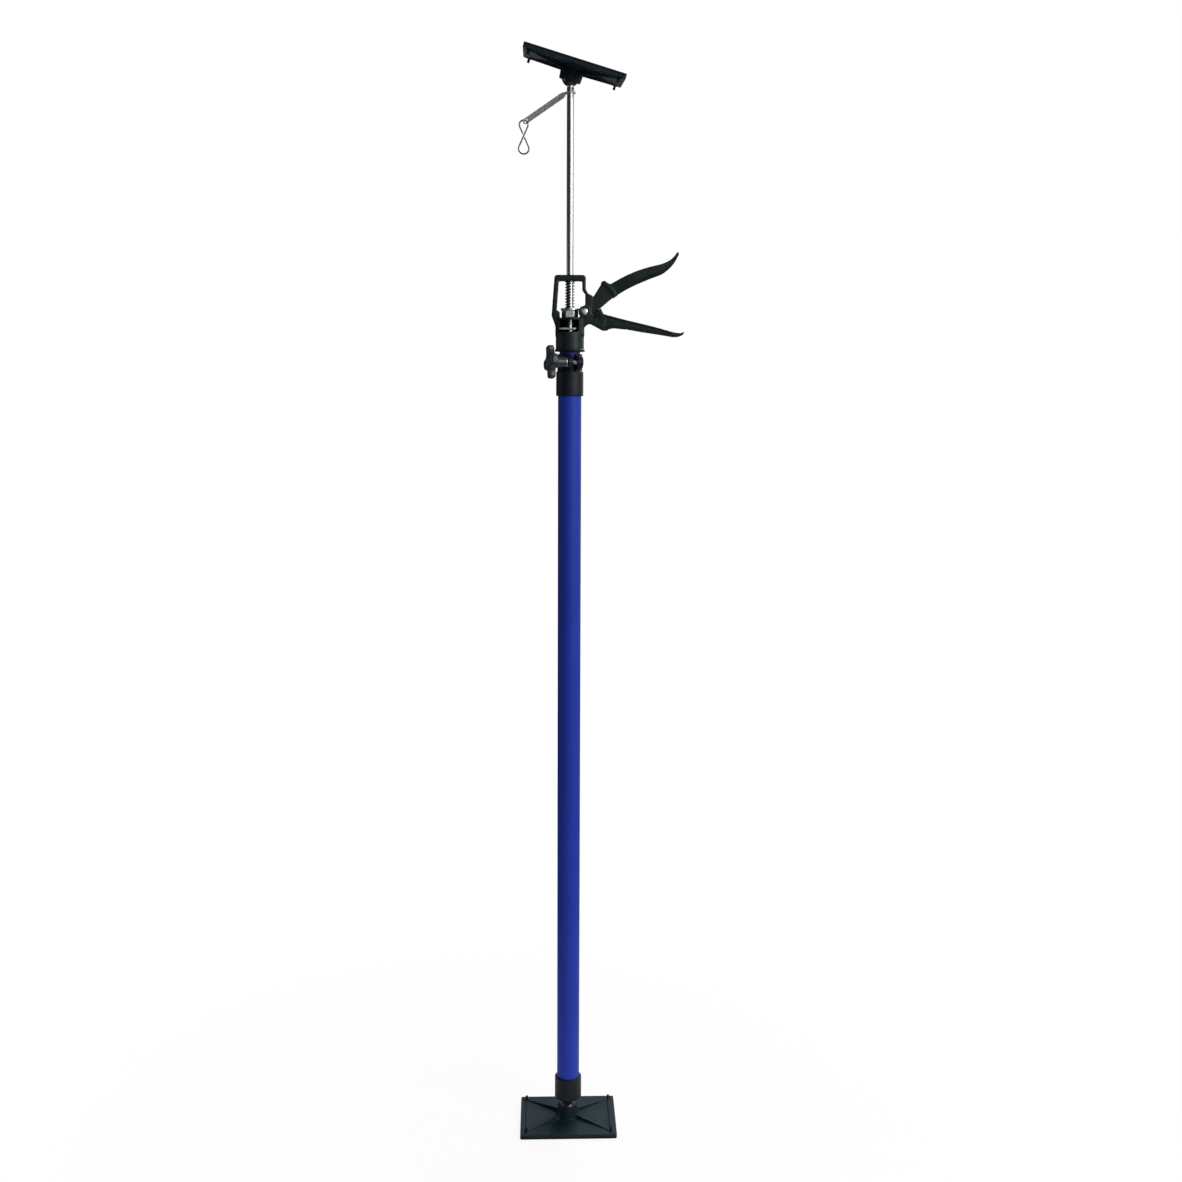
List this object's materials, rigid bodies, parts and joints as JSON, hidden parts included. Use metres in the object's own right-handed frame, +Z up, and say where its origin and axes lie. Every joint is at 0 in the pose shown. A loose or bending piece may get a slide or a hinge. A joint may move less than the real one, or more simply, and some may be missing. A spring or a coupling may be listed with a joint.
{
  "type": "telescopic support pole",
  "caption": "Height-adjustable pole that presses a ceiling board up: tilting pads on both ends, a clamped telescoping tube and a hand lever that jacks the top rod.",
  "frame": {"origin": "centre of the foot pad's underside, on the floor", "axes": "Z up along the pole, X to the lever's side, -Y to the release tab and the clamp knob"},
  "size_m": [0.2123, 0.1139, 1.4216],
  "materials": {
    "pad_rubber": "matte black moulded rubber",
    "plate_nylon": "satin black glass-filled nylon",
    "moulded_black": "satin black moulding",
    "cast_black": "semi-gloss black powder coat on a casting",
    "blue_paint": "gloss blue paint on steel tube",
    "zinc_steel": "bright zinc plate",
    "rod_steel": "drawn steel",
    "ball_steel": "blackened steel",
    "spring_steel": "bright spring wire",
    "insert_brass": "turned brass",
    "guide_nylon": "natural nylon"
  },
  "bodies": {
    "foot": {"foot_pad": "pad_rubber", "foot_plate": "plate_nylon"},
    "foot_ball": {"foot_ball": "ball_steel"},
    "foot_stud": {"foot_stud": "zinc_steel", "stud_nut": "zinc_steel"},
    "pole": {"foot_sleeve": "moulded_black", "outer_tube": "blue_paint", "clamp_collar": "moulded_black", "clamp_bolt": "zinc_steel"},
    "washer": {"clamp_washer": "zinc_steel"},
    "knob": {"knob_insert": "insert_brass", "clamp_knob": "moulded_black"},
    "mast_carrier": {"tube_bush": "guide_nylon"},
    "mast": {"inner_tube": "blue_paint", "jack_body": "cast_black", "lever_pin": "zinc_steel", "rod_guide": "guide_nylon", "lock_spring": "spring_steel"},
    "lever": {"lever": "cast_black"},
    "drive": {"drive_block": "zinc_steel", "drive_washer": "zinc_steel", "return_spring": "spring_steel"},
    "lock": {"lock_plate": "zinc_steel"},
    "rod_carrier": {"rod_stop": "rod_steel"},
    "rod": {"rod": "rod_steel", "head_stud": "rod_steel", "hook_strap": "zinc_steel"},
    "hook": {"s_hook": "zinc_steel"},
    "head_ball": {"head_ball": "ball_steel"},
    "head": {"head_plate": "plate_nylon", "head_pad": "pad_rubber"}
  },
  "joints": [
    {"name": "foot_tilt_side", "type": "hinge", "parent": "foot", "child": "foot_ball", "pos_m": [0, 0, 0.0185], "axis": [0, 1, 0], "range_deg": [-25, 25]},
    {"name": "foot_tilt_front", "type": "hinge", "parent": "foot_ball", "child": "foot_stud", "pos_m": [0, 0, 0.0185], "axis": [1, 0, 0], "range_deg": [-25, 25]},
    {"name": "foot_spin", "type": "hinge", "parent": "foot_stud", "child": "pole", "pos_m": [0, 0, 0.036], "axis": [0, 0, 1], "continuous": true},
    {"name": "knob_travel", "type": "slide", "parent": "pole", "child": "washer", "axis": [-0.9563, -0.2924, 0], "range_m": [0, 0.002]},
    {"name": "knob_turn", "type": "hinge", "parent": "washer", "child": "knob", "pos_m": [0.00599, -0.0196, 1.02933], "axis": [-0.9563, -0.2924, 0], "range_deg": [0, 720]},
    {"name": "mast_slide", "type": "slide", "parent": "pole", "child": "mast_carrier", "axis": [0, 0, 1], "range_m": [-0.003, 0.78]},
    {"name": "mast_turn", "type": "hinge", "parent": "mast_carrier", "child": "mast", "pos_m": [0, 0, 1.03], "axis": [0, 0, 1], "continuous": true},
    {"name": "lever", "type": "hinge", "parent": "mast", "child": "lever", "pos_m": [0.018, 0, 1.0932], "axis": [0, 1, 0], "range_deg": [0, 34], "stiffness_Nm_per_rad": 1.5, "springref_deg": -17.19},
    {"name": "drive_slide", "type": "slide", "parent": "mast", "child": "drive", "axis": [0, 0, 1], "range_m": [0, 0.0058], "deforming": ["return_spring"]},
    {"name": "lock_release", "type": "hinge", "parent": "mast", "child": "lock", "pos_m": [0, 0.011, 1.0725], "axis": [-1, 0, 0], "range_deg": [0, 5], "stiffness_Nm_per_rad": 0.5, "springref_deg": -11.46, "deforming": ["lock_spring"]},
    {"name": "rod_slide", "type": "slide", "parent": "mast", "child": "rod_carrier", "axis": [0, 0, 1], "range_m": [-0.21, 0.025]},
    {"name": "rod_turn", "type": "hinge", "parent": "rod_carrier", "child": "rod", "pos_m": [0, 0, 1.2], "axis": [0, 0, 1], "continuous": true},
    {"name": "s_hook_swing", "type": "hinge", "parent": "rod", "child": "hook", "pos_m": [-0.0555, 0, 1.32802], "axis": [0, 1, 0], "range_deg": [-14, 51]},
    {"name": "head_tilt_side", "type": "hinge", "parent": "rod", "child": "head_ball", "pos_m": [0, 0, 1.3801], "axis": [0, 1, 0], "range_deg": [-41.2, 8.8]},
    {"name": "head_tilt_front", "type": "hinge", "parent": "head_ball", "child": "head", "pos_m": [0, 0, 1.3801], "axis": [0.9603, 0, -0.279], "range_deg": [-31.2, 18.8]}
  ],
  "couplings": [
    {"joint": "knob_travel", "follows": "knob_turn", "m_per_rad": 0.00015915},
    {"joint": "drive_slide", "follows": "lever", "m_per_rad": 0.0096}
  ]
}
